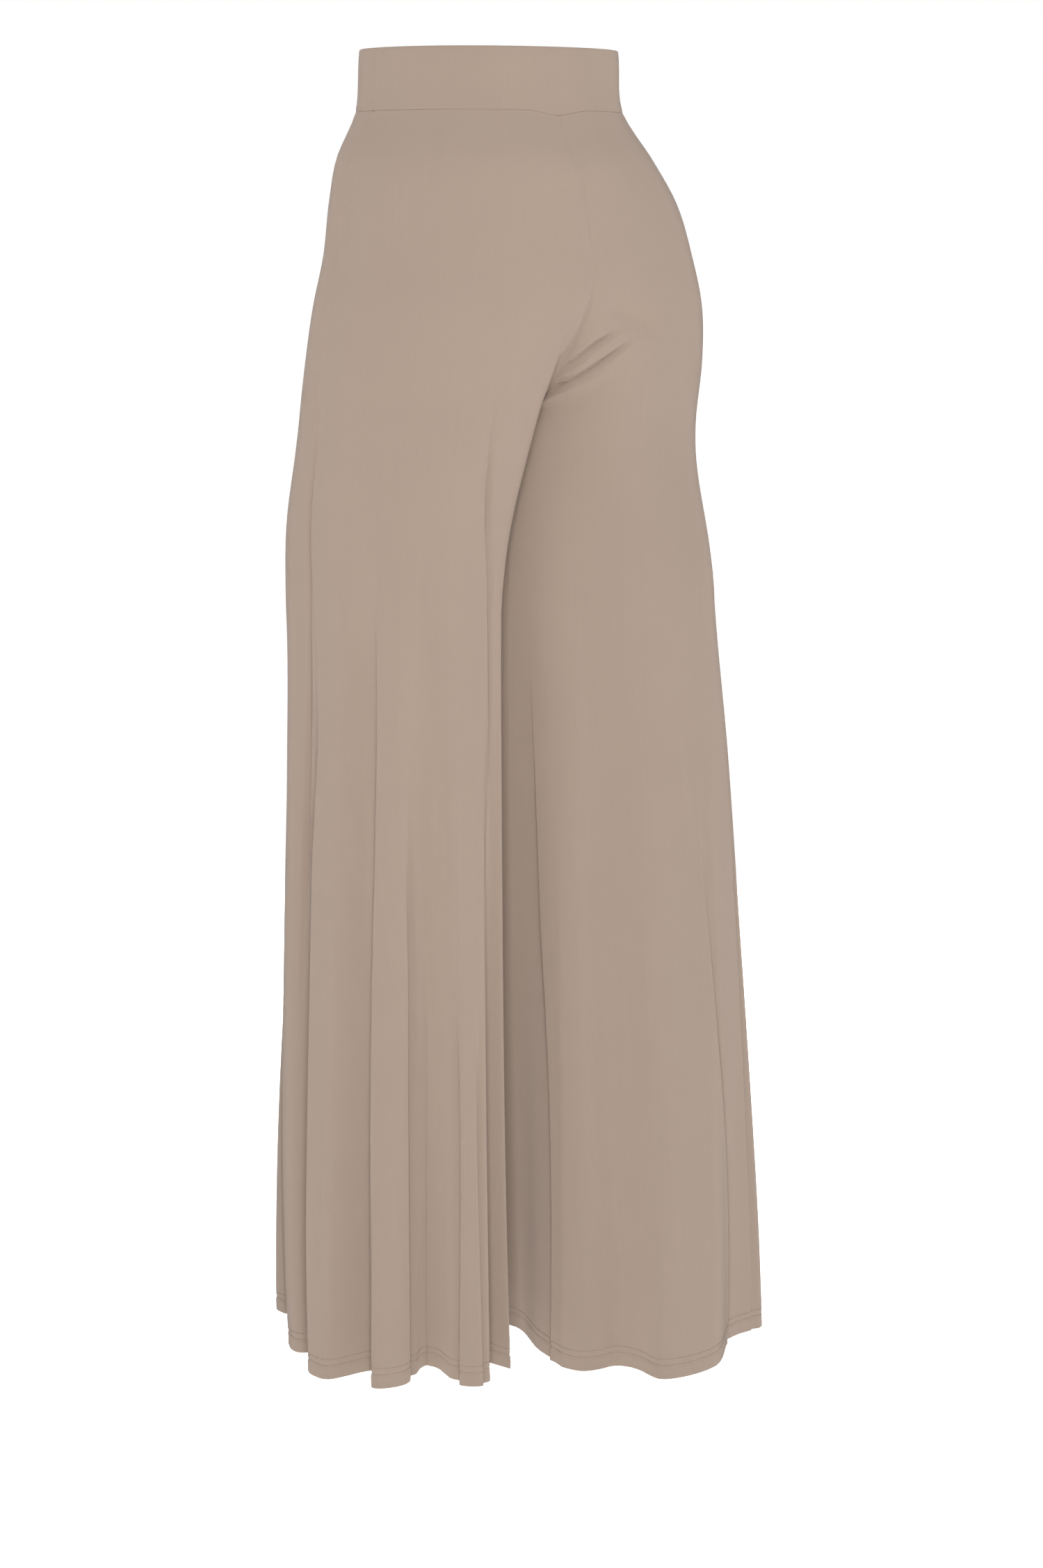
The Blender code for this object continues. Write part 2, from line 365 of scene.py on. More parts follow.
# %% [markdown]
# The crotch is where one tube becomes two. Along the rise seams the body's oval
# has to end at the inseam in a U, so its share falls there by a quarter circle.
# Towards the side seam there is no division, and the change is slow. One leg is
# ahead of the other, so close to the inseam both are drawn to one meeting point,
# or the two halves of the rise seam would miss each other.


# %% Surface of a leg
def torso_point(around, down):
    """(out, aft) on the body's oval. Half of it holds a whole turn of a leg."""
    turn = np.radians(around) / 2 - HOOK_CROWDING * np.sin(np.radians(around))
    front, back = row_of(TORSO, "front", down), row_of(TORSO, "back", down)
    reach = np.where(np.cos(turn) > 0, front, back)
    out = row_of(TORSO, "half_width", down) * bent(np.sin(turn), TORSO_CORNER)
    return out, -reach * bent(np.cos(turn), TORSO_CORNER)


def leg_point(leg, around, down):
    """(out, aft) on a leg's smooth oval."""
    inner, outer = row_of(leg, "inner", down), row_of(leg, "outer", down)
    front, back = row_of(leg, "front", down), row_of(leg, "back", down)
    turn = np.radians(around)
    out = (inner + outer) / 2 - (outer - inner) / 2 * bent(np.cos(turn), LEG_CORNER)
    aft = (front + back) / 2 - (back - front) / 2 * bent(np.sin(turn), LEG_CORNER)
    meeting = np.cos(turn / 2) ** MEETING_SHARPNESS * (1 - ease(CROTCH_DOWN, SPLIT_END, down))
    return out, aft + meeting * (CROTCH_AFT - (front + back) / 2)


def torso_share(around, down):
    """How much of the body's oval is left at a place, from 1 down to 0."""
    up = (CROTCH_DOWN - down) / CROTCH_RISE
    soft = SPLIT_SOFTNESS * np.sin(np.radians(around) / 2) ** 2
    up = np.clip((up + np.sqrt(up**2 + soft**2)) / 2, 0, 1)
    return np.sqrt(up * (2 - up)) * (1 - ease(CROTCH_DOWN, SPLIT_END, down))


def dip_at(out, around):
    """How far the band seam dips to a point at the middle of the back."""
    return BAND_DIP * np.exp(-((out / BAND_DIP_REACH) ** 2)) * (around > 180)


def surface(leg, around, down):
    """Points of the smooth outer face of one leg, up to the waistband."""
    share = torso_share(around, down)
    body, thigh = torso_point(around, down), leg_point(leg["ovals"], around, down)
    out, aft = (share * b + (1 - share) * t for b, t in zip(body, thigh))
    begins = round_the_hem(leg["hem"], "begins", around)
    grown = np.clip((down - begins) / (HEM_DOWN - begins), 0, 1) ** FOLD_GROWTH
    out = out + grown * (round_the_hem(leg["hem"], "out", around) - out)
    aft = aft + grown * (round_the_hem(leg["hem"], "aft", around) - aft)
    up = round_the_hem(leg["hem"], "rise", around) * ease(HEM_RISE_START, HEM_DOWN, down)
    up = up - dip_at(out, around) * (1 - ease(BAND_DEPTH, CROTCH_DOWN, down))
    sway = row_of(TORSO, "sway", down)
    return np.stack([sway + leg["side"] * out, aft, up - down], axis=-1)


LEGS = {
    "left": {"side": 1, "ovals": LEFT_LEG, "hem": hem_stations(LEFT_FLUTES)},
    "right": {"side": -1, "ovals": RIGHT_LEG, "hem": hem_stations(RIGHT_FLUTES)},
}
half_degrees = np.linspace(0, 360, 721)
for word, leg in LEGS.items():
    edge = surface(leg, half_degrees, np.full_like(half_degrees, HEM_DOWN))
    print(word, "hem is", round(np.linalg.norm(np.diff(edge, axis=0), axis=1).sum(), 2), "m round")

# %% [markdown]
# ## Even sheets of points
#
# The smooth surface is only the start, so each leg is sampled as one sheet that
# runs all round, fine enough for creases a few millimetres wide. Columns follow
# the cloth's real length at the hem, and are closer together beside the seams.
# Rows are closer at the band seam, just above the crotch, where the rise seams
# turn and fine drag lines run, and in the hem, where the stitching is. One row
# lies exactly at the crotch.

# %% Sample a leg
COLUMNS = 620
ROWS_ABOVE = 82
ROWS_BELOW = 74
FINE_STEPS = 3000  # trial steps, along which the rows and columns are placed
FINE_CROWDING = 3  # more puts the steps above the crotch closer to it
NEAREST_ROW = 0.02 * MM
BAND_SEAM_DENSITY = 8
BAND_SEAM_REACH = 5 * MM
DRAG_DENSITY = 9
DRAG_DOWN = 245 * MM
DRAG_REACH = 30 * MM
CROTCH_DENSITY = 2
CROTCH_REACH = 60 * MM
HEM_DENSITY = 9
HEM_REACH = 18 * MM
EVENNESS = 0.6  # at 1 the columns are equally far apart, and at 0 they are equal angles
SEAM_DENSITY = 5
SEAM_REACH_DEGREES = 1.2
NUDGE_DEGREES = 0.4
NUDGE_DOWN = 0.5 * MM


def bell(distance, width):
    """A smooth bump of height 1, from -width to +width or so."""
    return np.exp(-((distance / width) ** 2))


def spread(places, density, count):
    """Places between the first and the last, closer where the density is high."""
    grown = np.concatenate([[0], np.cumsum((density[1:] + density[:-1]) / 2 * np.diff(places))])
    return np.interp(np.linspace(0, grown[-1], count), grown, places)


def sheet_rows():
    """Depths of the rows, from the band seam by the crotch to the hem."""
    up = np.linspace(1, 0, FINE_STEPS) ** FINE_CROWDING * (CROTCH_DOWN - BAND_DEPTH)
    above = CROTCH_DOWN - up
    density = 1 / np.sqrt(up + NEAREST_ROW)
    density += BAND_SEAM_DENSITY * bell(above - BAND_DEPTH, BAND_SEAM_REACH)
    density += DRAG_DENSITY * bell(above - DRAG_DOWN, DRAG_REACH)
    below = np.linspace(CROTCH_DOWN, HEM_DOWN, FINE_STEPS)
    crowd = 1 + CROTCH_DENSITY * bell(below - CROTCH_DOWN, CROTCH_REACH)
    crowd += HEM_DENSITY * bell(below - HEM_DOWN, HEM_REACH)
    upper, lower = spread(above, density, ROWS_ABOVE), spread(below, crowd, ROWS_BELOW)
    return np.concatenate([upper, lower[1:]])


def sheet_columns(leg):
    """Places round the leg, with the side seam exactly half way."""
    halves = []
    for first, last in ((0, 180), (180, 360)):
        around = np.linspace(first, last, FINE_STEPS)
        edge = surface(leg, around, np.full_like(around, HEM_DOWN))
        speed = np.linalg.norm(np.gradient(edge, around, axis=0), axis=1)
        density = EVENNESS * speed / speed.mean() + (1 - EVENNESS)
        for seam in (first, last):
            density += SEAM_DENSITY * bell(around - seam, SEAM_REACH_DEGREES)
        halves.append(spread(around, density, COLUMNS // 2 + 1))
    return np.concatenate([halves[0], halves[1][1:]])


def outward(leg, around, down):
    """Unit normals of the smooth outer face."""
    along = surface(leg, around + NUDGE_DEGREES, down) - surface(leg, around - NUDGE_DEGREES, down)
    fall = surface(leg, around, down + NUDGE_DOWN) - surface(leg, around, down - NUDGE_DOWN)
    normal = leg["side"] * np.cross(fall, along)
    return normal / np.linalg.norm(normal, axis=-1, keepdims=True)


for word, leg in LEGS.items():
    leg["around"], leg["down"] = np.meshgrid(sheet_columns(leg), sheet_rows())
    leg["points"] = surface(leg, leg["around"], leg["down"])
    leg["normals"] = outward(leg, leg["around"], leg["down"])
    print(word, "leg sampled at", leg["points"].shape[:2], "points")

# %% [markdown]
# ## Creases
#
# Jersey is limp, so its creases are soft. Most are not even troughs: one side
# slopes in gently, and the other rolls over it in a fold, so that the eye meets a
# slow shade and then a crisp edge. Each one is drawn as a path on the leg through
# four places, given as degrees round and millimetres down. A path that ends below
# the hem runs out through it. Depth is how far the cloth goes in, in millimetres,
# and a negative depth makes a ridge. `before` and `after` are how far it reaches
# to each side, `after` being the side of larger `around` on a path that runs
# down. Lengths, depths and spacings are all uneven.
#
# A crease fades in and out along its path. One that starts at the seam between
# the legs is a drag line that the seam pulls, so it is deep almost at once.
#
# A cloth simulation would find folds of its own, but not these ones. Pressing
# them in one by one keeps each where the garment has it.

# %% Crease tables
CREASE_COLUMNS = (
    "around_1 down_1 around_2 down_2 around_3 down_3 around_4 down_4 depth before after"
)
LEFT_CREASES = table(CREASE_COLUMNS, [
    # drag lines at the front of the crotch
    (2, 268, 8, 250, 20, 236, 36, 226, 3, 3, 4),
    (1, 274, 10, 262, 24, 254, 40, 249, 2.5, 3, 3),
    # folds down the front
    (28, 400, 30, 600, 31, 820, 30, 1250, 5, 7, 3),
    (60, 520, 58, 720, 59, 900, 60, 1250, 4, 3, 8),
    (76, 430, 79, 640, 82, 850, 83, 1250, 7, 9, 2.5),
    (106, 600, 110, 760, 112, 930, 113, 1250, 4, 3, 6),
    (134, 480, 137, 690, 139, 880, 140, 1250, 6, 9, 2.5),
    # round the side seam and behind it
    (180, 260, 178, 420, 168, 580, 163, 780, 5, 3, 2),
    (188, 480, 188, 660, 188, 860, 188, 1250, -6, 8, 14),
    (196, 800, 196, 860, 195, 920, 195, 980, 1.2, 1.5, 1.5),
    (221, 360, 220, 560, 218, 780, 215, 1250, 9, 12, 2.5),
    (240, 520, 242, 690, 241, 860, 240, 1250, 6, 5, 3),
    (251, 600, 252, 780, 252, 950, 252, 1250, -5, 7, 7),
    (265, 640, 266, 820, 265, 980, 264, 1250, 7, 6, 3),
    (279, 700, 279, 860, 280, 1030, 281, 1250, 6, 3, 6),
    (292, 620, 292, 790, 291, 960, 290, 1250, 4, 3, 5),
    (280, 250, 285, 350, 296, 440, 304, 620, 5, 3, 2),
    # soft folds under the seat and beside the rise seam
    (205, 262, 230, 267, 260, 266, 290, 258, 1.5, 16, 16),
    (338, 200, 345, 226, 351, 247, 355, 266, 4, 9, 9),
])
RIGHT_CREASES = table(CREASE_COLUMNS, [
    # drag lines at the front of the crotch
    (2, 268, 9, 248, 22, 232, 40, 221, 3.5, 3, 4),
    (1, 273, 9, 262, 22, 256, 35, 252, 2, 2.5, 3),
    # folds down the front and the side
    (36, 420, 37, 620, 38, 830, 38, 1250, 6, 3, 9),
    (60, 560, 59, 740, 60, 920, 61, 1250, 4, 7, 3),
    (83, 440, 85, 650, 86, 860, 86, 1250, 7, 9, 2.5),
    (104, 640, 106, 790, 107, 940, 108, 1250, 3, 5, 5),
    (127, 480, 128, 690, 130, 880, 131, 1250, 6, 9, 3),
    (168, 560, 169, 740, 171, 910, 172, 1250, 6, 3, 9),
    (192, 620, 191, 780, 190, 940, 190, 1250, 4, 6, 3),
    (222, 520, 222, 700, 223, 890, 224, 1250, 3, 5, 4),
    # from the crotch up under the seat
    (365, 253, 353, 243, 341, 229, 316, 211, 6.7, 3.2, 1.5),
    (366, 278, 350, 261, 333, 245, 299, 214, 7.8, 2.6, 1.6),
    (366, 264, 359, 258, 352, 255, 344, 249, 3.5, 2, 1.2),
    (366, 271, 360, 265, 353, 261, 345, 259, 4, 1.8, 1.2),
    (356, 274, 344, 263, 331, 254, 314, 238, -2, 2.5, 4),
    (356, 281, 346, 277, 334, 270, 320, 256, 2.5, 4, 6),
    (345, 187, 321, 202, 301, 210, 276, 217, 5.5, 10, 9),
    # down the back
    (351, 420, 344, 660, 337, 860, 334, 1250, 5, 3.5, 24),
    (332, 560, 331, 760, 330, 950, 329, 1250, -2, 10, 7),
    (323, 560, 320, 750, 316, 930, 318, 1250, 4, 9, 7),
    (292, 780, 292, 830, 292, 890, 292, 950, 2.5, 7, 7),
    (263, 540, 255, 740, 246, 900, 242, 1250, 5, 9, 3),
])
PATH_STEPS = 48
FADE = 0.3  # share of its path over which a crease fades in, and out
SEAM_FADE = 0.06  # the same for one that starts at the seam between the legs
SEAM_START = 2  # degrees from the inseam within which a crease starts at it
LIP_SHARE = 0.2  # height of the lip beside a crisp edge, as a share of the depth
LIP_OFFSET = 2.2  # how far out it lies, in reaches of the crisp side
LIP_WIDTH = 1.1  # its own reach, in the same measure
REACH_WIDTHS = 3  # further off than this, in reaches of the wide side, nothing moves


def crease_path(leg, row):
    """Points along a crease, on the leg's smooth face."""
    stops = np.arange(1, 5)
    t = np.linspace(stops[0], stops[-1], PATH_STEPS)
    around = smooth_steps(stops, np.array([row[f"around_{stop}"] for stop in stops]), t)
    down = smooth_steps(stops, np.array([row[f"down_{stop}"] for stop in stops]), t)
    return surface(leg, around, down * MM)


def nearest_on(path, points):
    """For each point: its distance to a path, how far along that is, and the offset."""
    best = np.full(len(points), np.inf)
    along = np.zeros(len(points))
    offset, heading = np.zeros((len(points), 3)), np.zeros((len(points), 3))
    for step, (start, end) in enumerate(zip(path[:-1], path[1:])):
        run = end - start
        share = np.clip((points - start) @ run / (run @ run), 0, 1)
        gap = points - start - share[:, None] * run
        distance = np.linalg.norm(gap, axis=1)
        closer = distance < best
        best[closer], along[closer] = distance[closer], ((step + share) / (len(path) - 1))[closer]
        offset[closer], heading[closer] = gap[closer], run / np.linalg.norm(run)
    return best, along, offset, heading


def press_crease(leg, row, depth_in):
    """Adds one crease to how deep each point of the sheet is pressed in.

    The cloth rises in a low lip beside the crisp side of a fold.
    """
    path = crease_path(leg, row)
    before, after = row["before"] * MM, row["after"] * MM
    narrow, wide = min(before, after), max(before, after)
    reach = REACH_WIDTHS * wide
    points = leg["points"].reshape(-1, 3)
    near = ((points > path.min(0) - reach) & (points < path.max(0) + reach)).all(1)
    distance, along, offset, heading = nearest_on(path, points[near])
    normals = leg["normals"].reshape(-1, 3)[near]
    distance *= np.sign((np.cross(normals, heading) * offset).sum(1)) * leg["side"]
    trough = bell(distance, np.where(distance < 0, before, after))
    crisp_side = 1 if after <= before else -1
    lip = LIP_SHARE * (1 - narrow / wide)
    lip = lip * bell(distance - crisp_side * LIP_OFFSET * narrow, LIP_WIDTH * narrow)
    fade_in = FADE if SEAM_START < row["around_1"] < 360 else SEAM_FADE
    fade = ease(0, fade_in, along) * ease(0, FADE, 1 - along)
    depth_in[near] += row["depth"] * MM * fade * (trough - lip)


def press_creases(leg, creases):
    pressed = np.zeros(leg["points"].size // 3)
    for index in range(len(creases["depth"])):
        press_crease(leg, {name: values[index] for name, values in creases.items()}, pressed)
    return pressed.reshape(leg["around"].shape)


for (word, leg), creases in zip(LEGS.items(), (LEFT_CREASES, RIGHT_CREASES)):
    leg["pressed"] = press_creases(leg, creases)
    print(word, "leg: creases go in up to", round(leg["pressed"].max() / MM, 1), "mm")

# %% [markdown]
# ## Seams and the turned hem
#
# A sewn seam pulls the cloth in a little, and puckers it unevenly beside the
# stitches. The hem is turned up once and held by two rows of needle thread, a
# few millimetres apart, which press two shallow lines into the outside. All of
# it is about a millimetre deep, so it is pressed into the same sheet.
#
# Where the legs meet along the rise, both sheets must share one line. Creases
# fade out just before it, and the line itself is the mean of the two. At the seat
# the cloth is drawn in along it as a soft cleft, with a finer line at its bottom.

# %% Press the seams and the hem
SEAM_DEPTH = 0.7 * MM
SEAM_WIDTH = 1.7 * MM
BAND_SEAM_SINK = 0.4 * MM
PUCKER_DEPTH = 0.22 * MM
PUCKER_WIDTH = 5 * MM
PUCKER_LENGTHS = (13 * MM, 7.3 * MM)
NEEDLE_ROWS = (11 * MM, 16 * MM)
NEEDLE_DEPTH = 1.0 * MM
NEEDLE_WIDTH = 1.0 * MM
HEM_TURN = 18 * MM
RISE_CLEAR = 4 * MM
RISE_CLEAR_END = 40 * MM
CLEFT_DEPTH = 4 * MM
CLEFT_WIDTH = 7 * MM
CLEFT_LINE_DEPTH = 2.4 * MM
CLEFT_LINE_WIDTH = 1.9 * MM
CLEFT_DOWN = 245 * MM
CLEFT_REACH = 45 * MM


def running_length(points, axis):
    """Length along each row or column of the sheet, from its start."""
    steps = np.linalg.norm(np.diff(points, axis=axis), axis=-1)
    start = np.zeros_like(np.take(steps, [0], axis=axis))
    return np.concatenate([start, np.cumsum(steps, axis=axis)], axis=axis)


def pucker(run):
    """An uneven ripple along a seam."""
    return sum(np.sin(2 * pi * run / length) for length in PUCKER_LENGTHS) / len(PUCKER_LENGTHS)


def press_seams(leg):
    round_it, down_it = running_length(leg["points"], 1), running_length(leg["points"], 0)
    half = COLUMNS // 2
    to_rise = np.minimum(round_it, round_it[:, -1:] - round_it)
    to_seam = np.minimum(to_rise, np.abs(round_it - round_it[:, half : half + 1]))
    leg["above_hem"] = down_it[-1:] - down_it
    below_crotch = ease(CROTCH_DOWN, CROTCH_DOWN + RISE_CLEAR_END, leg["down"])
    clear = 1 - (1 - ease(0, RISE_CLEAR, to_rise)) * (1 - below_crotch)
    pressed = leg["pressed"] * clear
    cleft = CLEFT_DEPTH * bell(to_rise, CLEFT_WIDTH)
    cleft += CLEFT_LINE_DEPTH * bell(to_rise, CLEFT_LINE_WIDTH)
    cleft *= bell(leg["down"] - CLEFT_DOWN, CLEFT_REACH) * (leg["around"] > 180)
    pressed += cleft * (1 - below_crotch)
    pressed += SEAM_DEPTH * bell(to_seam, SEAM_WIDTH)
    ripple = PUCKER_DEPTH * pucker(down_it) * bell(to_seam, PUCKER_WIDTH)
    pressed += ripple * ease(0, SEAM_WIDTH, to_rise)
    pressed += BAND_SEAM_SINK * bell(leg["down"] - BAND_DEPTH, SEAM_WIDTH)
    for height in NEEDLE_ROWS:
        pressed += NEEDLE_DEPTH * bell(leg["above_hem"] - height, NEEDLE_WIDTH)
    pressed += PUCKER_DEPTH * pucker(round_it) * bell(leg["above_hem"] - HEM_TURN / 2, HEM_TURN)
    return pressed


for word, leg in LEGS.items():
    leg["outer"] = leg["points"] - press_seams(leg)[..., None] * leg["normals"]

rise = LEGS["left"]["down"][:, 0] <= CROTCH_DOWN + NEAREST_ROW
middle_line = row_of(TORSO, "sway", LEGS["left"]["down"][:, 0])
for column in (0, -1):
    meeting = np.mean([leg["outer"][rise, column] for leg in LEGS.values()], axis=0)
    meeting[:, 0] = middle_line[rise]
    for leg in LEGS.values():
        leg["outer"][rise, column] = meeting
for word, leg in LEGS.items():
    below = leg["outer"][~rise]
    below[:, 0] = below[:, -1] = (below[:, 0] + below[:, -1]) / 2
    leg["outer"][~rise] = below
    print(word, "leg: the rise seam has", rise.sum(), "shared points")

# %% [markdown]
# ## Panels of cloth
#
# Each leg sheet is cut at the inseam and the side seam into a front and a back
# panel. A panel is a real shell: the outer face, the same face moved in by the
# thickness of the jersey, and a narrow rim. A Solidify modifier makes such a
# shell too, but here the hem has to be double, and the inner faces of the two
# legs have to stop at the middle line, so the second face is worked out.
#
# Two sets of coordinates go with it. `grain` runs in real millimetres across and
# down the panel, so that the knit has its true size, and `OFBake` is a clean flat
# layout of both faces.

# %% Cut and thicken the panels
CLOTH = 0.9 * MM
RIM_DEGREES = 60
LAYOUT_MARGIN = 0.004
NO_LENGTH = 1e-12  # keeps a point with no direction from dividing by zero


def face_normals(points, closed_rows):
    """Unit normals of a pressed sheet, going on across the inseam where it is closed."""
    along, fall = np.gradient(points, axis=1), np.gradient(points, axis=0)
    across = (points[closed_rows, 1] - points[closed_rows, -2]) / 2
    along[closed_rows, 0] = along[closed_rows, -1] = across
    normal = np.cross(fall, along)
    return normal / np.maximum(np.linalg.norm(normal, axis=-1, keepdims=True), NO_LENGTH)


def grid_faces(rows, columns, offset, flip):
    """Quads of a grid of points, facing one way or the other."""
    corner = offset + np.arange(rows - 1)[:, None] * columns + np.arange(columns - 1)[None, :]
    quads = np.stack([corner, corner + columns, corner + columns + 1, corner + 1], axis=-1)
    return (quads[..., ::-1] if flip else quads).reshape(-1, 4)


def rim_faces(rows, columns, flip):
    """Quads that join the edges of the two faces all round."""
    index = np.arange(rows * columns).reshape(rows, columns)
    edge = np.concatenate([index[0, :-1], index[:-1, -1], index[-1, :0:-1], index[:0:-1, 0]])
    after, inside = np.roll(edge, -1), rows * columns
    quads = np.stack([edge, after, after + inside, edge + inside], axis=-1)
    return quads[:, ::-1] if flip else quads


def cloth_mesh(name, points, faces, grain, corner_layout):
    """A piece of cloth from its points and faces, with its grain and its flat layout."""
    mesh = bpy.data.meshes.new(name)
    mesh.from_pydata(points.tolist(), [], faces.tolist())
    places = np.zeros((len(points), 3))
    places[:, :2] = grain.reshape(-1, 2)
    grain_data = mesh.attributes.new("grain", "FLOAT_VECTOR", "POINT").data
    grain_data.foreach_set("vector", places.ravel())
    mesh.uv_layers.new(name="OFBake").data.foreach_set("uv", corner_layout.ravel())
    mesh.shade_smooth()
    mesh.set_sharp_from_angle(angle=radians(RIM_DEGREES))
    made = bpy.data.objects.new(name, mesh)
    bpy.context.scene.collection.objects.link(made)
    return made


def shell(name, outer, inner, grain, flip):
    """A panel of two faces and a rim. The faces lie side by side in its flat layout."""
    rows, columns = outer.shape[:2]
    count = rows * columns
    rim = rim_faces(rows, columns, flip)
    faces = np.concatenate([
        grid_faces(rows, columns, 0, flip),
        grid_faces(rows, columns, count, not flip),
        rim,
    ])
    across = np.tile(np.linspace(LAYOUT_MARGIN, 0.5 - LAYOUT_MARGIN, columns), rows)
    deep = np.repeat(np.linspace(1 - LAYOUT_MARGIN, LAYOUT_MARGIN, rows), columns)
    flat = np.concatenate([np.stack([across, deep], -1), np.stack([across + 0.5, deep], -1)])
    corners = faces.ravel()
    corners[-rim.size :] %= count
    layout = flat[corners]
    corners[-rim.size :] = rim.ravel()
    points = np.concatenate([outer.reshape(-1, 3), inner.reshape(-1, 3)])
    return cloth_mesh(name, points, faces, np.tile(grain.reshape(-1, 2), (2, 1)), layout)


for leg in LEGS.values():
    side = leg["side"]
    leg["out"] = side * face_normals(leg["outer"], ~rise)
    thickness = CLOTH * (2 - ease(HEM_TURN - MM, HEM_TURN + MM, leg["above_hem"]))
    inner = leg["outer"] - thickness[..., None] * leg["out"]
    inner[..., 2] = np.where(leg["above_hem"] == 0, leg["outer"][..., 2], inner[..., 2])
    for face in (leg["outer"], inner):
        beside = side * np.maximum(side * face[..., 0], side * middle_line[:, None])
        face[..., 0] = np.where(rise[:, None], beside, face[..., 0])
    leg["inner"] = inner

panels = {}
for end, first in (("front", 0), ("back", COLUMNS // 2)):
    for word, leg in LEGS.items():
        cut = (slice(None), slice(first, first + COLUMNS // 2 + 1))
        outer, inner = leg["outer"][cut], leg["inner"][cut]
        round_it, down_it = running_length(outer, 1), running_length(outer, 0)
        centre = COLUMNS // 4
        across = round_it - round_it[:, centre : centre + 1]
        down = np.broadcast_to(down_it[:, centre : centre + 1], across.shape)
        grain = np.stack([across, down], -1) / MM
        name = "jersey_" + end + "_" + word
        piece = shell(name, outer, inner, grain, flip=leg["side"] < 0)
        tiles = np.cross(np.diff(outer, axis=0)[:, :-1], np.diff(outer, axis=1)[:-1])
        area = np.linalg.norm(tiles, axis=-1).sum()
        panels[end + "_" + word] = {
            "piece": piece,
            "outer": outer,
            "facing": leg["out"][cut],
            "width": round_it[:, -1].max(),
            "length": down_it[-1].max(),
            "area": area,
        }
        print(name, "is", round(round_it[-1, -1], 2), "m wide at the hem")

# %% [markdown]
# ## Waistband
#
# The band is a strip of the same jersey, folded along its top edge over an
# elastic and sewn on all round. Its top is therefore a soft roll and not a cut
# edge. It is made as one closed ring: a profile that runs up the outside, over
# the roll and down the inside, carried round the body's oval. The bottom of the
# outside is tucked in at the seam, which dips to a point at the middle of the
# back, where the rise seam pulls on it. The strip's own join lies at the left
# side seam.

# %% Wrap the waistband
BAND_THICKNESS = 2.6 * MM
BAND_COLUMNS = 480
BAND_CROWN = 0.7 * MM
BAND_TUCK = 0.6 * MM
BAND_FACE_STEPS = 26
BAND_ROLL_STEPS = 9
BAND_RIPPLE = 0.25 * MM
BAND_JOIN_DEPTH = 0.35 * MM
BAND_JOIN_TURN = 90


def band_profile():
    """Height above the seam and depth under the outer face, round the fold."""
    radius = BAND_THICKNESS / 2
    straight = BAND_DEPTH - radius
    rising = np.linspace(0, 1, BAND_FACE_STEPS)
    outside = BAND_TUCK * bell(rising * straight, SEAM_WIDTH) - BAND_CROWN * np.sin(pi * rising)
    roll = np.linspace(0, pi, BAND_ROLL_STEPS + 2)[1:-1]
    over = straight + radius * np.sin(roll)
    height = np.concatenate([rising * straight, over, straight * rising[::-1]])
    inside = np.full(BAND_FACE_STEPS, BAND_THICKNESS)
    return height, np.concatenate([outside, radius * (1 - np.cos(roll)), inside])


def band_ring(down):
    """Points and outward directions of the band's outer face at some depths."""
    turn = (BAND_JOIN_TURN + np.linspace(0, 360, BAND_COLUMNS + 1)) % 360
    around = np.where(turn < 180, turn * 2, (360 - turn) * 2)[None, :]
    side = np.where(turn < 180, 1, -1)
    out, aft = torso_point(around, down)
    drop = down * (1 + dip_at(out, around) / BAND_DEPTH)
    points = np.stack([row_of(TORSO, "sway", down) + side * out, aft, -drop], -1)
    ends = (points[:, 1] - points[:, -2])[:, None]
    along = np.concatenate([ends, points[:, 2:] - points[:, :-2], ends], 1)
    facing = np.stack([along[..., 1], -along[..., 0], np.zeros_like(out)], -1)
    return points, facing / np.linalg.norm(facing, axis=-1, keepdims=True)


height, depth = band_profile()
band_points, band_facing = band_ring((BAND_DEPTH - height)[:, None])
band_run = running_length(band_points, 1)
outside = (depth < BAND_THICKNESS)[:, None]
to_join = np.minimum(band_run, band_run[:, -1:] - band_run)
sunk = BAND_RIPPLE * pucker(band_run) * bell(height, PUCKER_WIDTH)[:, None]
sunk = (sunk + BAND_JOIN_DEPTH * bell(to_join, SEAM_WIDTH)) * outside
band_sheet = band_points - (depth[:, None] + sunk)[..., None] * band_facing
band_up = running_length(band_sheet, 0)[:, :1]
band_grain = np.stack([band_run, np.broadcast_to(band_up, band_run.shape)], -1) / MM

rows, columns = band_run.shape
first = np.arange(columns - 1)
last = (rows - 1) * columns + first
under = np.stack([first, last, last + 1, first + 1], -1)
faces = np.concatenate([grid_faces(rows, columns, 0, flip=True), under])
spread_u, spread_v = np.meshgrid(np.linspace(0, 1, columns), np.linspace(0, 1, rows))
flat = LAYOUT_MARGIN + (1 - 2 * LAYOUT_MARGIN) * np.stack([spread_u, spread_v], -1).reshape(-1, 2)
band_layout = flat[faces.ravel()]
band = cloth_mesh("jersey_waistband", band_sheet.reshape(-1, 3), faces, band_grain, band_layout)

# %% [markdown]
# ## Rayon jersey
#
# The cloth is a plain weft knit, called single jersey: viscose rayon with a few
# per cent of elastane, piece-dyed to one colour and pressed. Its outside is rows
# of small V-shaped loops, which stand in vertical wales. Rayon is smooth and
# limp, and hardly shines because the loops scatter the light. They also hide
# their own shadows from whoever looks along the light, so a knit looks flatter
# than paper would, which the shader calls diffuse roughness. Grazing light gives
# it a soft bloom, which the shader calls sheen.
#
# Real wales are about 0.6 mm apart. Here they are drawn a little coarser, at
# 0.9 mm, or they would only flicker in a picture of the whole garment. The loops
# are a bump and not geometry, since there are some two million of them. Dyed
# knits are never quite even, so faint streaks run along the wales, and a soft
# cloudiness lies over the whole panel.

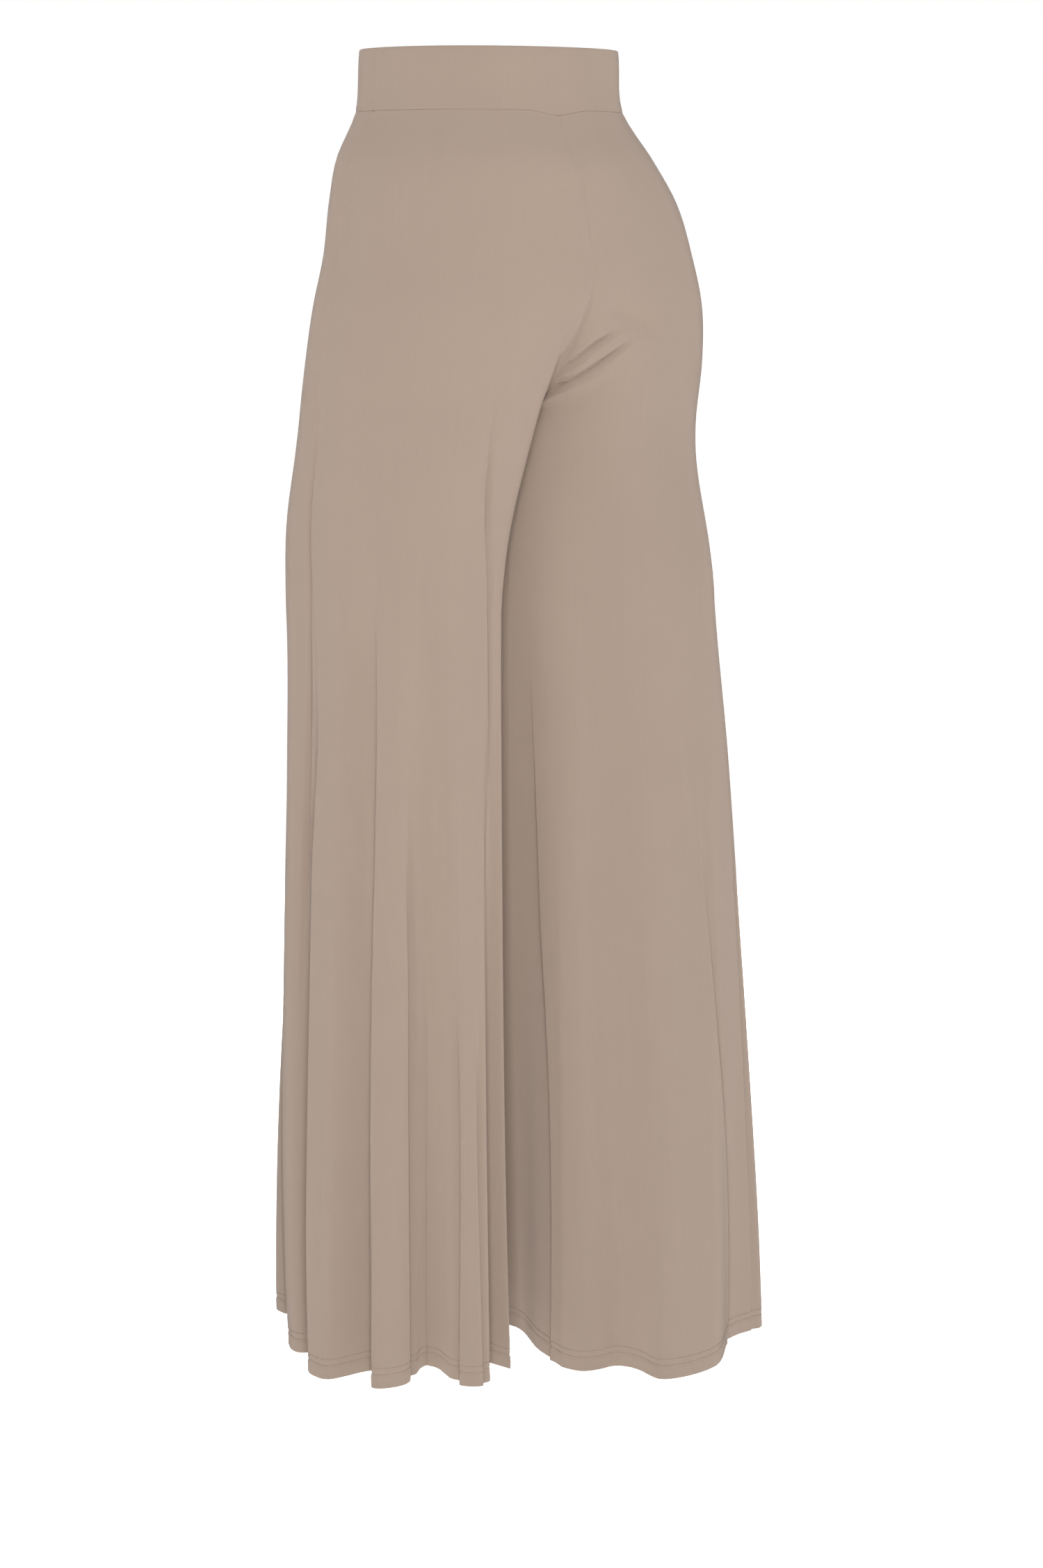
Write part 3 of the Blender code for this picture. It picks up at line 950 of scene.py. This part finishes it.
# %% Mix the jersey
JERSEY_LIGHT = "#B3A192"
JERSEY_DARK = "#AE9C8D"
WALE_MM = 0.9
COURSE_MM = 0.7
LOOP_LEAN = 0.5
LOOP_SHARE = 0.35  # of a wale's own height
LOOP_RELIEF = 0.06 * MM
LOOP_STRENGTH = 0.6
CLOUD_MM = 55
CLOUD_DETAIL = 2.0
STREAK_MM = 2.4
STREAK_LENGTH_MM = 160
STREAK_DETAIL = 1.0
YARN_ROUGHNESS = 0.88
LOOP_SCATTER = 0.7
RAYON_IOR = 1.53
BLOOM = 0.32
BLOOM_ROUGHNESS = 0.5
BLOOM_TINT = "#E9D3CB"


def number(tree, operation, *values):
    """The output of one step of arithmetic."""
    return add_node(tree, "Math", dict(enumerate(values)), operation=operation).outputs[0]


def knit_height(tree, across, down):
    """Height of the loops: a V leans up to the middle of each wale."""
    wale = number(tree, "PINGPONG", number(tree, "DIVIDE", across, WALE_MM / 2), 1.0)
    lean = number(tree, "MULTIPLY", wale, LOOP_LEAN)
    course = number(tree, "ADD", number(tree, "DIVIDE", down, COURSE_MM), lean)
    loop = number(tree, "SINE", number(tree, "MULTIPLY", course, 2 * pi))
    rib = number(tree, "SINE", number(tree, "MULTIPLY", wale, pi))
    return number(tree, "MULTIPLY_ADD", loop, LOOP_SHARE, rib)


def noise_over(tree, grain, size_mm, detail):
    """Soft noise whose blotches have a real size across and down."""
    per_mm = [1 / size for size in size_mm]
    scaled = add_node(tree, "VectorMath", {0: grain, 1: per_mm}, operation="MULTIPLY").outputs[0]
    noise = add_node(tree, "TexNoise", {"Vector": scaled, "Scale": 1.0, "Detail": detail})
    return noise.outputs[0]


def jersey_material(name):
    made = bpy.data.materials.new(name)
    made.use_nodes = True
    tree = made.node_tree
    shader = tree.nodes["Principled BSDF"]
    grain = add_node(tree, "Attribute", attribute_name="grain").outputs["Vector"]
    place_on = add_node(tree, "SeparateXYZ", {0: grain})
    cloud = noise_over(tree, grain, (CLOUD_MM, CLOUD_MM, CLOUD_MM), CLOUD_DETAIL)
    streak = noise_over(tree, grain, (STREAK_MM, STREAK_LENGTH_MM, CLOUD_MM), STREAK_DETAIL)
    uneven = number(tree, "MULTIPLY", number(tree, "ADD", cloud, streak), 0.5)
    dye = add_node(tree, "MixRGB", {0: uneven, 1: colour(JERSEY_LIGHT), 2: colour(JERSEY_DARK)})
    loops = knit_height(tree, place_on.outputs[0], place_on.outputs[1])
    bump = add_node(
        tree, "Bump", {"Height": loops, "Distance": LOOP_RELIEF, "Strength": LOOP_STRENGTH}
    )
    tree.links.new(dye.outputs[0], shader.inputs["Base Color"])
    tree.links.new(bump.outputs[0], shader.inputs["Normal"])
    shader.inputs["Roughness"].default_value = YARN_ROUGHNESS
    shader.inputs["Diffuse Roughness"].default_value = LOOP_SCATTER
    shader.inputs["IOR"].default_value = RAYON_IOR
    shader.inputs["Sheen Weight"].default_value = BLOOM
    shader.inputs["Sheen Roughness"].default_value = BLOOM_ROUGHNESS
    shader.inputs["Sheen Tint"].default_value = colour(BLOOM_TINT)
    return made


jersey = jersey_material("rayon jersey")
for panel in panels.values():
    panel["piece"].data.materials.append(jersey)
band.data.materials.append(jersey_material("rayon jersey of the band"))
print("jersey: wales", WALE_MM, "mm, courses", COURSE_MM, "mm")

# %% [markdown]
# ## Hem stitching
#
# A coverstitch machine sews the hem with two needles at once. Outside it leaves
# two level rows of short straight stitches, and the thread dips into the cloth
# between them. Each stitch is a small pill: a six-sided rod with narrow ends,
# bowed up in the middle, lying in the line that the needle pressed. Polyester
# thread is matched to the cloth and a little glossier.
#
# One pill could be repeated with an Array modifier on a curve. Placing them in
# a loop keeps every stitch the same length on the flat and in the folds.

# %% Sew the hem
STITCH_PITCH = 3.2 * MM
STITCH_LENGTH = 2.5 * MM
THREAD_RADIUS = 0.24 * MM
STITCH_BOW = 0.12 * MM
PILL_SIDES = 6
# where along the stitch each ring is, and its size
PILL_RINGS = ((-0.5, 0.25), (-0.34, 0.9), (0, 1.0), (0.34, 0.9), (0.5, 0.25))
THREAD_TAUPE = "#8C786C"
THREAD_ROUGHNESS = 0.55
THREAD_SHEEN = 0.1
# spots across a row of stitches, whose box is about 0.2 m wide, so each is about 0.2 mm
PLY_SPOTS = 900.0


def along_row(panel, height):
    """Points and outward directions on a panel, at one height above the hem."""
    outer, face = panel["outer"], panel["facing"]
    down_it = running_length(outer, 0)
    above = down_it[-1:] - down_it
    points, facing = np.empty(outer.shape[1:]), np.empty(outer.shape[1:])
    for column in range(outer.shape[1]):
        for axis in range(3):
            up = above[::-1, column]
            points[column, axis] = np.interp(height, up, outer[::-1, column, axis])
            facing[column, axis] = np.interp(height, up, face[::-1, column, axis])
    return points, facing


def stitch_row(panel, height):
    """Corners of every stitch in a row, as rings of a pill."""
    points, facing = along_row(panel, height)
    run = running_length(points, 0)
    starts = np.arange(STITCH_PITCH / 2, run[-1] - STITCH_PITCH / 2, STITCH_PITCH)

    def at(values, places):
        return np.stack([np.interp(places, run, values[:, axis]) for axis in range(3)], -1)

    ahead = at(points, starts + STITCH_LENGTH / 2) - at(points, starts - STITCH_LENGTH / 2)
    ahead /= np.linalg.norm(ahead, axis=1, keepdims=True)
    up = at(facing, starts)
    up -= (up * ahead).sum(1, keepdims=True) * ahead
    up /= np.linalg.norm(up, axis=1, keepdims=True)
    across = np.cross(ahead, up)
    angles = np.arange(PILL_SIDES) * 2 * pi / PILL_SIDES
    rings = []
    for place_at, size in PILL_RINGS:
        bow = STITCH_BOW * (1 - (2 * place_at) ** 2)
        centre = at(points, starts) + place_at * STITCH_LENGTH * ahead + bow * up
        for angle in angles:
            rings.append(centre + size * THREAD_RADIUS * (cos(angle) * across + sin(angle) * up))
    return np.stack(rings, 1)


def pill_faces(count):
    """Faces of a number of pills, each with its rings joined and its ends closed."""
    one = []
    for ring in range(len(PILL_RINGS) - 1):
        for corner in range(PILL_SIDES):
            here = ring * PILL_SIDES + corner
            beside = ring * PILL_SIDES + (corner + 1) % PILL_SIDES
            one.append([here, beside, beside + PILL_SIDES, here + PILL_SIDES])
    size = len(PILL_RINGS) * PILL_SIDES
    ends = [list(range(PILL_SIDES))[::-1], list(range(size - PILL_SIDES, size))]
    return [[i + size * pill for i in face] for pill in range(count) for face in one + ends]


thread = bpy.data.materials.new("polyester sewing thread")
thread.use_nodes = True
tree = thread.node_tree
thread_shader = tree.nodes["Principled BSDF"]
ply = add_node(tree, "TexNoise", {"Scale": PLY_SPOTS, "Detail": 1.0}).outputs[0]
shade = add_node(tree, "MixRGB", {0: ply, 1: colour(THREAD_TAUPE), 2: colour(JERSEY_LIGHT)})
tree.links.new(shade.outputs[0], thread_shader.inputs["Base Color"])
thread_shader.inputs["Roughness"].default_value = THREAD_ROUGHNESS
thread_shader.inputs["Sheen Weight"].default_value = THREAD_SHEEN

for name, panel in panels.items():
    corners = np.concatenate([stitch_row(panel, height) for height in NEEDLE_ROWS])
    mesh = bpy.data.meshes.new("stitches_" + name)
    mesh.from_pydata(corners.reshape(-1, 3).tolist(), [], pill_faces(len(corners)))
    mesh.shade_smooth()
    mesh.materials.append(thread)
    panel["stitches"] = bpy.data.objects.new("stitches_" + name, mesh)
    bpy.context.scene.collection.objects.link(panel["stitches"])
    print(name, "hem has", len(corners), "stitches")

# %% [markdown]
# ## Hand over
#
# Every piece rides on the garment's one body, and each sheet stands for the
# solid of its panel. The size that each panel is cut to is printed.

for name, panel in panels.items():
    piece, stitches = panel["piece"], panel["stitches"]
    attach(piece, "root")
    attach(stitches, "root")
    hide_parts(name)
    width, length, area = (round(panel[size], 3) for size in ("width", "length", "area"))
    print(name, "cut", width, "by", length, "m,", area, "m2")

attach(band, "root")
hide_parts("waistband")
